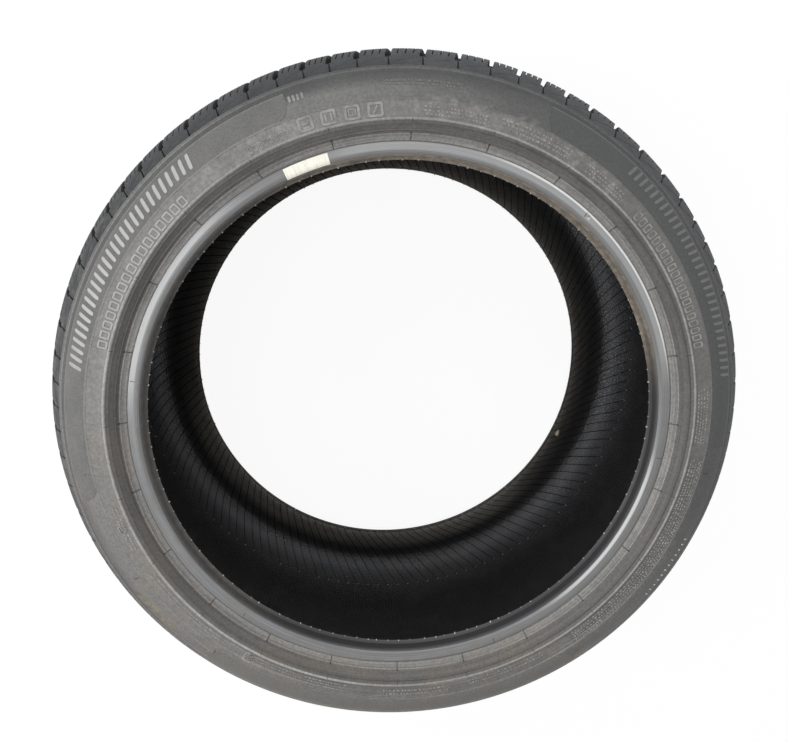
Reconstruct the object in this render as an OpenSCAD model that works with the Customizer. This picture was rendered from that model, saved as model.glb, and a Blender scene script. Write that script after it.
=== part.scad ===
// Low profile passenger car tyre, 295 mm nominal width on a 20 inch rim.
// It lies on its side, with its axis along Z and its centre at the origin.
// Profiles lie in the plane of radius and height and are turned about Z.

/* [Tyre] */
// Diameter over the tread
tyre_d = 714; // [690:1:740]
// Width over the two rim protectors
section_w = 305; // [298:1:312]
// Nominal diameter of the rim
rim_d = 508; // [502:1:514]
// Distance between the outer faces of the two beads, as a share of that width
bead_share = 0.9082; // [0.88:0.002:0.93]

/* [Bead] */
// Tightness of the seat on the rim, on radius
seat_bite = 0.8; // [0.4:0.1:1.2]
// Length of the straight stretch of the seat
seat_l = 5.5; // [4:0.5:6]
// Length of the sloped toe beyond the seat
toe_l = 3; // [2:0.5:5]
// How far the toe hangs below the seat
toe_drop = 2.7; // [1.5:0.1:4]
// Radius of the heel between the seat and the outer face, as a share of the side's height
heel_share = 0.0631; // [0.054:0.001:0.072]
// Place of the rim line up the side, as a share of its height
rim_line_at = 0.1194; // [0.114:0.001:0.136]
// Depth of the crease at the rim line
rim_line_d = 0.8; // [0.4:0.1:1.5]
// Thickness of the bead's inner flank above the toe
flank_t = 12; // [9:0.5:15]

/* [Rim protector] */
// Place of the protector's edge up the side, as a share of its height
protector_at = 0.2913; // [0.27:0.002:0.31]
// Depth of the hollow where the rim's flange lies, as a share of that height
hollow_share = 0.0485; // [0.03:0.005:0.065]
// Rise of the two fine steps in that hollow
step_h = 0.6; // [0.3:0.1:1]
// Size of the bevel on the protector's edge
edge_w = 1.4; // [0.8:0.2:2.4]

/* [Sidewall] */
// Place up the side at which the flat lower sidewall begins to curve, as a share
flat_at = 0.4515; // [0.41:0.005:0.48]
// Straightness of the sidewall where it leaves the flat, as a share of the side's height
sidewall_pull = 0.1748; // [0.12:0.005:0.23]
// Straightness of the shoulder where it meets the crown, as a share of that height
shoulder_pull = 0.2864; // [0.23:0.005:0.35]
// Thickness of the sidewall at its thinnest
wall_t = 9; // [7.5:0.5:10.5]
// Place of the trim ring along the curve of the shoulder
trim_at = 0.54; // [0.5:0.01:0.6]
// Width of the trim ring
trim_w = 3.4; // [2.5:0.1:4.5]
// Height of the trim ring
trim_h = 0.8; // [0.4:0.1:1.2]

/* [Crown] */
// Half width of the crown, up to where the shoulder starts
crown_half = 90; // [84:1:96]
// Drop of the crown from its middle to that place
crown_drop = 4.2; // [3:0.1:6]
// Thickness of the crown at its middle
crown_t = 16; // [15:0.5:19]

/* [Grooves] */
// Depth of the grooves around the tread
groove_d = 7.5; // [5:0.5:8]
// Width of the two inner grooves
inner_groove_w = 11; // [9:0.5:12]
// Distance of the inner grooves from the centre plane
inner_groove_z = 23; // [21:0.5:25]
// Width of the two outer grooves
outer_groove_w = 9.5; // [8:0.5:11]
// Distance of the outer grooves from the centre plane
outer_groove_z = 63; // [60:0.5:66]
// Slope of the groove walls
groove_slope = 6; // [3:1:10]
// Number of wear bars in each groove
wear_bars = 6; // [4:1:8]
// Height of a wear bar above the groove's floor
wear_bar_h = 1.6; // [1.2:0.1:2]
// Length of a wear bar along its groove
wear_bar_l = 8; // [6:1:12]

/* [Slots] */
// Number of pitches around the tread
pitches = 76; // [60:2:80]
// How often the pitch grows and shrinks in one turn
pitch_waves = 10; // [6:1:12]
// Swing of a slot from its even place, in degrees
pitch_swing = 0.85; // [0:0.05:1]
// Angle at which the pitch is longest
long_pitch_at = 49; // [0:1:60]
// Angle of the first slot
first_slot = 6; // [0:0.5:8]
// Width of the slots between the shoulder blocks
slot_w = 3.6; // [2.8:0.1:4.4]
// Lean of those slots on the crown, against the axis
slot_lean = 16; // [8:1:24]
// Depth of those slots on the crown
slot_d = 6.5; // [4:0.5:7]
// Depth of those slots at the lower edge of the blocks
slot_end_d = 3.6; // [3:0.2:5]
// Place of that edge along the curve of the shoulder
block_at = 0.36; // [0.3:0.01:0.42]
// Width of a slot's tail from there to the trim ring
tail_w = 1.3; // [0.8:0.1:1.8]
// Depth of a slot's tail
tail_d = 1.6; // [1:0.1:2.5]
// Width of the slots in the middle ribs
rib_slot_w = 2.2; // [1.6:0.1:3]
// Depth of the slots in the middle ribs
rib_slot_d = 6; // [4:0.5:7]
// Length of the slots in the middle ribs
rib_slot_l = 20; // [12:1:24]
// Lean of the rib slots against the axis
rib_slot_lean = 32; // [15:1:40]
// Width of the notches in the centre rib
notch_w = 1.6; // [1:0.1:2.2]
// Depth of the notches in the centre rib
notch_d = 5; // [3:0.5:6]
// Length of the notches in the centre rib
notch_l = 9; // [6:1:12]

/* [Label] */
// Length of the paper label around the bead
label_l = 42; // [30:1:60]
// Thickness of the paper label
label_t = 0.3; // [0.2:0.05:0.5]
// Thickness of the glue beneath the label
glue_t = 0.1; // [0.1:0.02:0.3]
// Angle of the label's middle around the bead
label_angle = 110; // [0:1:359]
// Gap between the label and the crease at the rim line
label_gap = 0.5; // [0.2:0.1:1.5]

/* [Hidden] */

// Points are [radius, height above the centre plane].
tyre_r = tyre_d / 2;
rim_r = rim_d / 2;
side_h = tyre_r - rim_r;
half_w = section_w / 2;
face_z = half_w * bead_share;
seat_r = rim_r - seat_bite;
heel_r = side_h * heel_share;
heel = [seat_r + heel_r, face_z - heel_r];
toe = [seat_r - toe_drop, heel.y - seat_l - toe_l];
rim_line = [rim_r + side_h * rim_line_at, face_z - rim_line_d];
face_end = [rim_line.x - rim_line_d, face_z];
edge = [rim_r + side_h * protector_at, half_w];
hollow = side_h * hollow_share;
flat_r = rim_r + side_h * flat_at;
sidewall_reach = side_h * sidewall_pull;
shoulder_reach = side_h * shoulder_pull;
pitch = 360 / pitches;
over = 6;

// A cubic curve through p[0] and p[3], and its way forward, for t from 0 to 1.
function curve(p, t) = pow(1 - t, 3) * p[0] + 3 * pow(1 - t, 2) * t * p[1]
    + 3 * (1 - t) * t * t * p[2] + pow(t, 3) * p[3];
function way(p, t) = 3 * pow(1 - t, 2) * (p[1] - p[0]) + 6 * (1 - t) * t * (p[2] - p[1])
    + 3 * t * t * (p[3] - p[2]);

// A point that stands off the curve, into the rubber on its left.
function off(p, t, depth) =
    let (w = way(p, t) / norm(way(p, t))) curve(p, t) + depth * [-w.y, w.x];
function trace(p, from, to, steps) =
    [for (i = [0 : steps]) curve(p, from + (to - from) * i / steps)];

// The crown is a shallow parabola.
function crown_at(z) = tyre_r - crown_drop * pow(z / crown_half, 2);
function crown(from, to, steps, depth = 0) =
    [for (i = [0 : steps]) let (z = from + (to - from) * i / steps) [crown_at(z) - depth, z]];

// A curve from the edge of the crown out to the flat of the sidewall.
function shoulder_from(z, depth, wall) =
    let (slope = 2 * crown_drop * z / pow(crown_half, 2), start = crown_at(z) - depth)
    [[start, z], [start - slope * shoulder_reach, z + shoulder_reach],
     [flat_r + sidewall_reach, half_w - wall], [flat_r, half_w - wall]];
shoulder = shoulder_from(crown_half, 0, 0);
trim_span = trim_w / norm(way(shoulder, trim_at));
trim_from = trim_at - trim_span / 2;
trim_to = trim_at + trim_span / 2;

// The hollow in which the rim's flange lies, from the protector to the rim line.
flange = [edge - [edge_w, edge_w], edge - [edge_w + hollow, edge_w + hollow],
    rim_line + [hollow, 1], rim_line];
function step_at(t) = [off(flange, t, 0), off(flange, t + 0.02, -step_h), off(flange, t + 0.14, 0)];

// The heel's arc, each of its six steps 15 degrees long.
function heel_at(i, gap = 0) = heel + (heel_r + gap) * [cos(90 + 15 * i), sin(90 + 15 * i)];

// The liner on the inside, from the toe to the shoulder.
liner_half = crown_half - crown_t;
liner_shoulder = shoulder_from(liner_half, crown_t, wall_t);
liner_bead = [toe + [1, -1], toe + [flank_t, -1],
    [flat_r - sidewall_reach, half_w - wall_t], [flat_r, half_w - wall_t]];

upper_half = concat(
    crown(crown_half / 3, crown_half * 2 / 3, 1),
    trace(shoulder, 0, trim_from, 6),
    [off(shoulder, trim_from + trim_span / 4, -trim_h), off(shoulder, trim_to - trim_span / 4, -trim_h)],
    trace(shoulder, trim_to, 1, 7),
    [edge + [edge_w, 0]],
    [curve(flange, 0)], step_at(0.1), step_at(0.42), trace(flange, 0.65, 1, 5),
    [face_end], [for (i = [0 : 6]) heel_at(i)],
    [[seat_r, heel.y - seat_l], toe],
    trace(liner_bead, 0, 1, 12),
    [for (i = [11 : -1 : 0]) curve(liner_shoulder, i / 12)],
    crown(liner_half * 3 / 4, liner_half / 4, 2, crown_t)
);
lower_half = [for (i = [len(upper_half) - 1 : -1 : 0]) [upper_half[i].x, -upper_half[i].y]];

module carcass() {
    rotate_extrude($fn = 180)
        polygon(concat([[tyre_r, 0]], upper_half, [[tyre_r - crown_t, 0]], lower_half));
}

// One groove around the tread, less the wear bars that stand in it.
module groove(z, w) {
    r = crown_at(z);
    lean = tan(groove_slope);
    difference() {
        rotate_extrude($fn = 180)
            polygon([[r + over, z - w / 2 - over * lean], [r + over, z + w / 2 + over * lean],
                [r - groove_d, z + w / 2 - groove_d * lean], [r - groove_d, z - w / 2 + groove_d * lean]]);
        for (i = [1 : wear_bars])
            rotate(360 * i / wear_bars)
                translate([r - groove_d - over + wear_bar_h, -wear_bar_l / 2, z - w])
                    cube([over, wear_bar_l, 2 * w]);
    }
}

// The children's profile as an upright slice of this width at an angle.
module slice(angle, width) {
    rotate([90, 0, angle]) linear_extrude(width, center = true) children();
}

function slot_angle(i) =
    first_slot + i * pitch + pitch_swing * sin(pitch_waves * (first_slot + i * pitch - long_pitch_at));

// A slot between two shoulder blocks, down the side of the tyre to their lower edge.
module block_slot() {
    floor = [for (i = [0 : 4]) let (s = i / 4) off(shoulder, block_at * s, slot_d + (slot_end_d - slot_d) * s)];
    mouth = off(shoulder, block_at, -over);
    polygon(concat(floor, [mouth, [tyre_r + over, mouth.y], [tyre_r + over, floor[0].y]]));
}

// The same slot on the crown, turned about its end there and leaning into the outer groove.
module crown_slot() {
    translate([0, 0, crown_half]) rotate([-slot_lean, 0, 0]) translate([0, 0, -crown_half])
        slice(0, slot_w) polygon([[crown_at(outer_groove_z) - slot_d, outer_groove_z],
            off(shoulder, 0, slot_d), [tyre_r + over, off(shoulder, 0, slot_d).y],
            [tyre_r + over, outer_groove_z]]);
}

// The shallow tail of that slot, down to the trim ring.
module tail_slot() {
    function at(i) = block_at * 0.9 + (trim_from - block_at * 0.9) * i / 3;
    polygon(concat([for (i = [0 : 3]) off(shoulder, at(i), tail_d)],
        [for (i = [3 : -1 : 0]) off(shoulder, at(i), -over)]));
}

// A leaning slot that opens into a groove, cut from a point on the crown.
module lean_slot(z, lean, l, w, d) {
    translate([crown_at(z), 0, z]) rotate([lean, 0, 0])
        translate([over - d, 0, 0]) cube([2 * over, w, l], center = true);
}

// All cuts of one side of the tread.
module side_cuts() {
    rib_z = outer_groove_z - (rib_slot_l / 2) * cos(rib_slot_lean);
    notch_z = inner_groove_z - inner_groove_w / 2 - notch_l / 2 + 1;
    groove(inner_groove_z, inner_groove_w);
    groove(outer_groove_z, outer_groove_w);
    for (i = [0 : pitches - 1]) {
        slice(slot_angle(i), slot_w) block_slot();
        rotate(slot_angle(i)) crown_slot();
        slice(slot_angle(i), tail_w) tail_slot();
        rotate(slot_angle(i)) lean_slot(rib_z, rib_slot_lean, rib_slot_l, rib_slot_w, rib_slot_d);
    }
    for (i = [0 : 2 : pitches - 1])
        rotate(slot_angle(i)) lean_slot(notch_z, -rib_slot_lean / 2, notch_l, notch_w, notch_d);
}

module tyre() {
    color("#3a3a3b") difference() {
        carcass();
        side_cuts();
        rotate([180, 0, pitch / 2]) side_cuts();
    }
}

// A plain paper strip, bent over the heel of the upper bead.
module bead_label() {
    span = label_l / heel.x * 180 / PI;
    foot = face_end - [label_gap, 0];
    color("#d9d5c6") rotate(label_angle - span / 2) rotate_extrude(angle = span, $fn = 180)
        polygon(concat([foot + [0, glue_t]], [for (i = [0 : 3]) heel_at(i, glue_t)],
            [for (i = [3 : -1 : 0]) heel_at(i, glue_t + label_t)], [foot + [0, glue_t + label_t]]));
}

tyre();
bead_label();
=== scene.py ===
import math
import random

import bpy
import numpy as np
from mathutils import Matrix, Vector


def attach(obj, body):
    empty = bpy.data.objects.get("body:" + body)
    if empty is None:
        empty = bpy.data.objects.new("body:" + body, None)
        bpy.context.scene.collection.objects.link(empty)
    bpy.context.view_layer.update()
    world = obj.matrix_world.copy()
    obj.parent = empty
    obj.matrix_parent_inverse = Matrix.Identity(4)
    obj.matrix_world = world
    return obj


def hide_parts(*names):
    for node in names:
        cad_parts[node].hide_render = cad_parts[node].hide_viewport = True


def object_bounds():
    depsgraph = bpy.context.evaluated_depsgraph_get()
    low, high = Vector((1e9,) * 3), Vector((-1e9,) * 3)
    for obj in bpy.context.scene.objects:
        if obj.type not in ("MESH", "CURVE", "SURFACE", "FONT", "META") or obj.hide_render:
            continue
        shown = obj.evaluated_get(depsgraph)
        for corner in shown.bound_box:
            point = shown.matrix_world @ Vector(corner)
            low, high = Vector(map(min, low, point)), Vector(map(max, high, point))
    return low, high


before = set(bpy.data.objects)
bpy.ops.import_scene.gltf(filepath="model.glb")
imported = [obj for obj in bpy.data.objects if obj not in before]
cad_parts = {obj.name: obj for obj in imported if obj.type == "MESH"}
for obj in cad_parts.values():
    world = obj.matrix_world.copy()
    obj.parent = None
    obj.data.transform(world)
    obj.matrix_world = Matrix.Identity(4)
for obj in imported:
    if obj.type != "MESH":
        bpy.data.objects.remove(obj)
cad_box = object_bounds()
random.seed(20)
bpy.context.scene.view_settings.view_transform = "Standard"

# Camera. It looks down on the tyre from a little above its middle, at the height and turn
# that bring the rings of both beads and the outline to where the picture has them.
PICTURE_W, PICTURE_H = 788, 742
lens = bpy.data.cameras.new("camera")
lens.sensor_width = 36
lens.lens = 694.8 / PICTURE_W * lens.sensor_width
lens.shift_x = (PICTURE_W / 2 - 379.3) / PICTURE_W
lens.shift_y = (346.7 - PICTURE_H / 2) / PICTURE_W
lens.clip_start, lens.clip_end = 0.01, 20
camera = bpy.data.objects.new("camera", lens)
bpy.context.collection.objects.link(camera)
gaze = Vector((0.04412, -0.21641, -0.97531)).normalized()
across = gaze.cross(Vector((0, 1, 0))).normalized()
camera.matrix_world = Matrix.Translation((-0.05274, 0.22068, 0.78516)) @ Matrix(
    (across, across.cross(gaze), -gaze)).transposed().to_4x4()
bpy.context.scene.camera = camera


# Light. A bright even room with four soft boxes: above the upper edge of the picture, at the
# left, overhead and a weak one at the right, so that the satin beads catch long soft highlights.
def linear(code, alpha=1.0):
    """An sRGB hex colour as linear numbers."""
    parts = [int(code[k:k + 2], 16) / 255 for k in (1, 3, 5)]
    return [c / 12.92 if c <= 0.04045 else ((c + 0.055) / 1.055) ** 2.4 for c in parts] + [alpha]


def add(tree, kind, inputs=(), out=0, stops=(), **settings):
    """Adds a node with its settings, stops and inputs, set or linked, and gives one output."""
    made = tree.nodes.new("ShaderNode" + kind)
    for name, value in settings.items():
        setattr(made, name, value)
    for name, value in dict(inputs).items():
        if isinstance(value, bpy.types.NodeSocket):
            tree.links.new(value, made.inputs[name])
        else:
            made.inputs[name].default_value = value
    for k, (at, code) in enumerate(stops):
        points = made.color_ramp.elements
        point = points[k] if k < len(points) else points.new(1.0)
        point.position, point.color = at, linear(code)
    return made.outputs[out] if made.outputs else None


world = bpy.data.worlds.new("room")
bpy.context.scene.world = world
world.use_nodes = True
tree = world.node_tree
tree.nodes.clear()
seen = add(tree, "Math", {0: add(tree, "LightPath", out="Is Camera Ray"),
                          1: add(tree, "LightPath", out="Is Glossy Ray")}, operation="MAXIMUM")
level = add(tree, "MapRange", {"Value": seen, "To Min": 0.52, "To Max": 1.0})
air = add(tree, "Background", {"Color": linear("#ffffff"), "Strength": level})
add(tree, "OutputWorld", {"Surface": air})


def soft_box(name, place, side, watts):
    """A square soft box that faces the tyre."""
    data = bpy.data.lights.new(name, "AREA")
    data.shape, data.size, data.energy = "SQUARE", side, watts
    lamp = bpy.data.objects.new(name, data)
    bpy.context.collection.objects.link(lamp)
    lamp.matrix_world = Matrix.Translation(place) @ Vector(place).to_track_quat("Z", "Y").to_matrix().to_4x4()


soft_box("upper_box", (-0.1, 1.5, 1.2), 1.0, 12)
soft_box("left_box", (-1.35, 0.0, 1.0), 0.7, 12)
soft_box("overhead_box", (-0.6, -0.1, 1.5), 0.6, 5)
soft_box("right_box", (1.3, 0.6, 1.0), 0.5, 2.5)

# Floor. A white sheet that the tyre lies on. It shows as white, and keeps a pale shadow.
bpy.ops.mesh.primitive_plane_add(size=30, location=(0, 0, cad_box[0].z - 0.0005))
floor = bpy.context.object
floor.name = "floor"
sheet = bpy.data.materials.new("white_paper_floor")
sheet.use_nodes = True
tree = sheet.node_tree
tree.nodes.clear()
plain = add(tree, "BsdfDiffuse", {"Color": linear("#f4f4f4")})
dim = add(tree, "BsdfDiffuse", {"Color": linear("#555555")})
glow = add(tree, "Emission", {"Color": linear("#ffffff"), "Strength": 0.92})
lit = add(tree, "AddShader", {0: dim, 1: glow})
pick = add(tree, "MixShader", {0: add(tree, "LightPath", out="Is Camera Ray"), 1: plain, 2: lit})
add(tree, "OutputMaterial", {"Surface": pick})
floor.data.materials.append(sheet)

# Casing. The moulded body of the tyre: both sidewalls with their rim protectors, the hollows
# for the rim's flanges and the two beads. It is vulcanised rubber, pressed in one steel mould.
MM = 0.001
SHOULDER = np.array([(352.8, 90), (350.05, 119.5), (318.5, 152.5), (300.5, 152.5)])
FLANGE = np.array([(282.6, 151.1), (277.6, 146.1), (271.3, 138.7), (266.3, 137.7)])
LINER_BEAD = np.array([(251.5, 122.5), (262.5, 122.5), (282.5, 143.5), (300.5, 143.5)])
LINER_SHOULDER = np.array([(300.5, 143.5), (318.5, 143.5), (335.9, 103.5), (338.16, 74)])
SIDE_SUNK = 0.3     # the side between the raised panels lies this much lower than they do


def along(curve, t, rise=0.0):
    """Points [radius, height] at t on a cubic curve, standing this far out of the rubber."""
    t = np.atleast_1d(np.asarray(t, float))[:, None]
    rise = np.broadcast_to(np.atleast_1d(np.asarray(rise, float)), t.shape[:1])[:, None]
    at = (1 - t) ** 3 * curve[0] + 3 * (1 - t) ** 2 * t * curve[1] + 3 * (1 - t) * t * t * curve[2] \
        + t ** 3 * curve[3]
    way = (1 - t) ** 2 * (curve[1] - curve[0]) + 2 * (1 - t) * t * (curve[2] - curve[1]) \
        + t * t * (curve[3] - curve[2])
    way /= np.linalg.norm(way, axis=1)[:, None]
    return at + rise * np.stack([way[:, 1], -way[:, 0]], 1)


# The tread's radius at its middle, just inside the facets of the solid's box, and its fall to the shoulder.
CROWN_TOP, CROWN_DROP = 356.89, 4.09
SPIN_STEPS = 384


def crown(z, rise=0.0):
    """A point of the tread's shallow crown at this height, standing this far out."""
    return [CROWN_TOP - CROWN_DROP * (z / 90) ** 2 + rise, z]


def fresh(name):
    """Names the new primitive, which is then shaped in edit mode."""
    made = bpy.context.object
    made.name = made.data.name = name
    return made


def finish_mesh(piece, degrees):
    """Merges doubles, turns the faces out and smooths all edges flatter than this."""
    bpy.ops.object.select_all(action="DESELECT")
    bpy.context.view_layer.objects.active = piece
    piece.select_set(True)
    bpy.ops.object.mode_set(mode="EDIT")
    bpy.ops.mesh.select_all(action="SELECT")
    bpy.ops.mesh.remove_doubles(threshold=1e-6)
    bpy.ops.mesh.normals_make_consistent(inside=False)
    bpy.ops.object.mode_set(mode="OBJECT")
    bpy.ops.object.shade_smooth_by_angle(angle=math.radians(degrees))


def rubber_piece(piece, *finishes):
    """Gives a rubber piece its materials, hangs it on the root body and hides the tyre's solid, which it stands
    for.
    """
    for finish in finishes:
        piece.data.materials.append(finish)
    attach(piece, "root")
    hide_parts("tyre")


# Places along a curve, or degrees round the heel, and how far the surface stands out there.
ridges = [(0.522, -0.8), (0.526, 0.4), (0.529, 0.75), (0.535, 0.8), (0.5385, 0.4), (0.5415, 0.4),
          (0.545, 0.8), (0.552, 0.72), (0.557, 0.2), (0.562, -0.2), (0.575, -0.5), (0.595, -0.75),
          (0.615, -0.65), (0.635, -0.45), (0.65, -0.3)]
flange_lines = [(0, 0), (0.03, -0.05), (0.06, 0.0), (0.095, 0.0), (0.115, 0.5), (0.13, 0.55), (0.17, 0.3),
                (0.235, 0.0), (0.3, 0.0), (0.36, 0.0), (0.415, 0.0), (0.435, 0.5), (0.45, 0.55), (0.5, 0.25),
                (0.56, 0.0), (0.64, 0.0), (0.655, 0.3), (0.675, 0.3), (0.69, 0.0), (0.76, 0.0), (0.84, 0.0),
                (0.92, 0.0), (0.97, 0.0)]
heel_lines = [(90, 0), (98, 0), (106, 0), (114, 0), (122, 0), (130, 0), (136, 0), (138.5, -0.1), (140.5, -0.5),
              (142.5, -0.1), (146, 0), (150, 0), (152, -0.25), (154, 0), (160, 0), (162, -0.25), (164, 0),
              (170, 0), (175, 0), (180, 0)]
arc, sunk_by = np.array(heel_lines, float).T
heel = np.stack([259.7 + (6.5 + sunk_by) * np.cos(np.radians(arc)),
                 132 + (6.5 + sunk_by) * np.sin(np.radians(arc))], 1)
upper_half = np.vstack([
    [crown(z, -9.4) for z in (0, 30, 60, 84)],
    along(SHOULDER, [0.1, 0.25, 0.4, 0.49], -9.0), along(SHOULDER, [0.5205], -3.0),
    along(SHOULDER, *zip(*ridges)),
    along(SHOULDER, np.linspace(0.67, 0.975, 12), -SIDE_SUNK),
    [(301.2, 152.2), (300.8, 152.42), (300.3, 152.42), (299.9, 152.05)],
    [(r, 152.03) for r in (297, 291)],
    [(285.7, 152.05), (285.2, 152.3), (284.4, 152.36), (283.7, 152.05), (283.2, 151.6)],
    along(FLANGE, *zip(*flange_lines)),
    [(266.35, 137.5), (266.05, 137.45), (265.8, 137.75), (265.4, 138.2), (264.6, 138.45), (262.6, 138.5)],
    heel,
    [(253.2, 129), (253.2, 126.6), (252.9, 125.9), (250.9, 123.9), (250.5, 123.4), (250.75, 122.75)],
    # From here on behind the liner, deep enough that its long straight chords don't cut through it.
    along(LINER_BEAD, np.linspace(0.03, 0.95, 5), [-0.9, -2.2, -2.6, -2.6, -2.6]),
    along(LINER_SHOULDER, np.linspace(0.05, 1, 5), -2.8),
    [(342.4, 50), (343.4, 25)],
])
section = np.vstack([upper_half, [(343.7, 0)], upper_half[:0:-1] * [1, -1]])

bpy.ops.object.select_all(action="DESELECT")
bpy.ops.mesh.primitive_circle_add(vertices=len(section), radius=0.05, location=(0, 0, 0))
casing = fresh("tyre_casing")
for vertex, (r, z) in zip(casing.data.vertices, section):
    vertex.co = (r * MM, 0, z * MM)
bpy.ops.object.mode_set(mode="EDIT")
bpy.ops.mesh.select_all(action="SELECT")
bpy.ops.mesh.spin(steps=SPIN_STEPS, angle=2 * math.pi, center=(0, 0, 0), axis=(0, 0, 1))
bpy.ops.object.mode_set(mode="OBJECT")
finish_mesh(casing, 28)


def new_material(name):
    """An empty material and its tree, with a point's place, radius, angle and height in it."""
    made = bpy.data.materials.new(name)
    made.use_nodes = True
    tree = made.node_tree
    tree.nodes.clear()
    place = add(tree, "TexCoord", out="Object")
    radius = add(tree, "VectorMath", {0: add(tree, "VectorMath", {0: place, 1: (1, 1, 0)}, operation="MULTIPLY")},
                 out="Value", operation="LENGTH")
    turn = add(tree, "Math", {0: add(tree, "SeparateXYZ", {0: place}, out="Y"),
                              1: add(tree, "SeparateXYZ", {0: place}, out="X")}, operation="ARCTAN2")
    height = add(tree, "Math", {0: add(tree, "SeparateXYZ", {0: place}, out="Z")}, operation="ABSOLUTE")
    return made, tree, place, radius, turn, height


def by_radius(tree, radius, stops):
    """A colour that changes across the tyre, from stops of radius in millimetres and colour."""
    low, high = stops[0][0], stops[-1][0]
    share = add(tree, "MapRange", {"Value": radius, "From Min": low * MM, "From Max": high * MM})
    return add(tree, "ValToRGB", {0: share}, stops=[((at - low) / (high - low), code) for at, code in stops])


def stretch(tree, turn, low, high, fade=10):
    """1 between two angles round the tyre, falling to 0 over so many degrees outside them."""
    away = add(tree, "Math", {0: turn, 1: math.radians((low + high) / 2)}, operation="SUBTRACT")
    away = add(tree, "Math", {0: away, 1: math.pi, 2: -math.pi}, operation="WRAP")
    away = add(tree, "Math", {0: away}, operation="ABSOLUTE")
    half = math.radians((high - low) / 2)
    return add(tree, "MapRange", {"Value": away, "From Min": half + math.radians(fade), "From Max": half},
               interpolation_type="SMOOTHSTEP")


def ring(tree, radius, low, high, fade=0.6):
    """1 between two radii in millimetres, falling to 0 over so many millimetres outside them."""
    inner = add(tree, "MapRange", {"Value": radius, "From Min": (low - fade) * MM, "From Max": low * MM})
    outer = add(tree, "MapRange", {"Value": radius, "From Min": (high + fade) * MM, "From Max": high * MM})
    return add(tree, "Math", {0: inner, 1: outer}, operation="MULTIPLY")


def cover(tree, shade, code, strength, *shares):
    """Lays one colour over a shade, as thick as the shares' product: dust and dirt, and in places painted
    highlights and painted shade.
    """
    for share in shares:
        strength = add(tree, "Math", {0: strength, 1: share}, operation="MULTIPLY")
    return add(tree, "Mix", {0: strength, 6: shade, 7: linear(code)}, out=2, data_type="RGBA")


# Vulcanised black rubber, straight from a steel mould and then handled and driven on: matt, with a bloom of grey
# dust that is thickest below, paler at the left and darker at the upper right, with painted highlights on the
# raised lines and painted shade in the hollows beside them.
side_rubber, tree, place, radius, turn, height = new_material("vulcanised_sidewall_rubber")
# The ramp by radius paints highlights on the raised lines and ridges, at 272.5, 283.7, 300.3, 328.6 and 330.9 mm.
# It paints shade in the heel's crease at 266.2 mm, beside the rim protector's edge at 280.7 mm and in the hollow
# under the trim ridge from 325 to 328 mm.
shade = by_radius(tree, radius, [
    (266.2, "#4c4c4b"), (266.8, "#8f8d8a"), (268, "#989693"), (271.8, "#8c8a87"), (272.5, "#a9a7a4"),
    (273.2, "#706e6b"), (275, "#6e6b68"), (279.6, "#6f6c69"), (280.7, "#444241"), (281.5, "#6b6966"),
    (283.1, "#6c6a67"), (283.7, "#a9a8a5"), (284.9, "#8d8c8a"), (285.7, "#5f5e5c"), (287, "#6e6d6b"),
    (299.6, "#6c6b69"), (300.3, "#858482"), (301.4, "#676665"), (312, "#656463"), (321, "#636362"),
    (325.2, "#555555"), (327.9, "#5a5a5a"), (328.6, "#8b8a88"), (329.4, "#676665"), (330.3, "#676665"),
    (330.9, "#858482"), (331.8, "#474a4d"), (345, "#474a4d")])
clouds = add(tree, "TexNoise", {"Vector": place, "Scale": 1000 / 38, "Detail": 4.0, "Roughness": 0.6})
smears = add(tree, "TexNoise", {"Vector": place, "Scale": 1000 / 9, "Detail": 5.0, "Roughness": 0.65})
smears = add(tree, "MapRange", {"Value": smears, "From Min": 0.48, "From Max": 0.64})
grains = add(tree, "TexNoise", {"Vector": place, "Scale": 1000 / 2.6, "Detail": 3.0, "Roughness": 0.7})
turned = add(tree, "CombineXYZ", {0: add(tree, "Math", {0: radius, 1: 1000.0}, operation="MULTIPLY"),
                                  1: add(tree, "Math", {0: height, 1: 1000.0}, operation="MULTIPLY"),
                                  2: add(tree, "Math", {0: turn, 1: 2.0}, operation="MULTIPLY")})
turned = add(tree, "TexNoise", {"Vector": turned, "Scale": 0.9, "Detail": 4.0, "Roughness": 0.6})
shade = cover(tree, shade, "#343332", 0.32, ring(tree, radius, 264, 282, 2),
              add(tree, "MapRange", {"Value": turned, "From Min": 0.6, "From Max": 0.4}))
shade = cover(tree, shade, "#353434", 0.4, ring(tree, radius, 272.9, 282.4, 0.4), stretch(tree, turn, 150, 215, 20))
# Darker over the outer side at the upper right, and paler over the middle of the side at the left.
shade = cover(tree, shade, "#3c3d3e", 0.6, ring(tree, radius, 301, 350, 2), stretch(tree, turn, -12, 108, 22))
shade = cover(tree, shade, "#a09f9c", 0.3, stretch(tree, turn, 105, 215, 45), ring(tree, radius, 283, 312, 8))
shade = cover(tree, shade, "#8d8b88", 0.55, stretch(tree, turn, 238, 300, 25), ring(tree, radius, 322, 350, 4))
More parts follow.
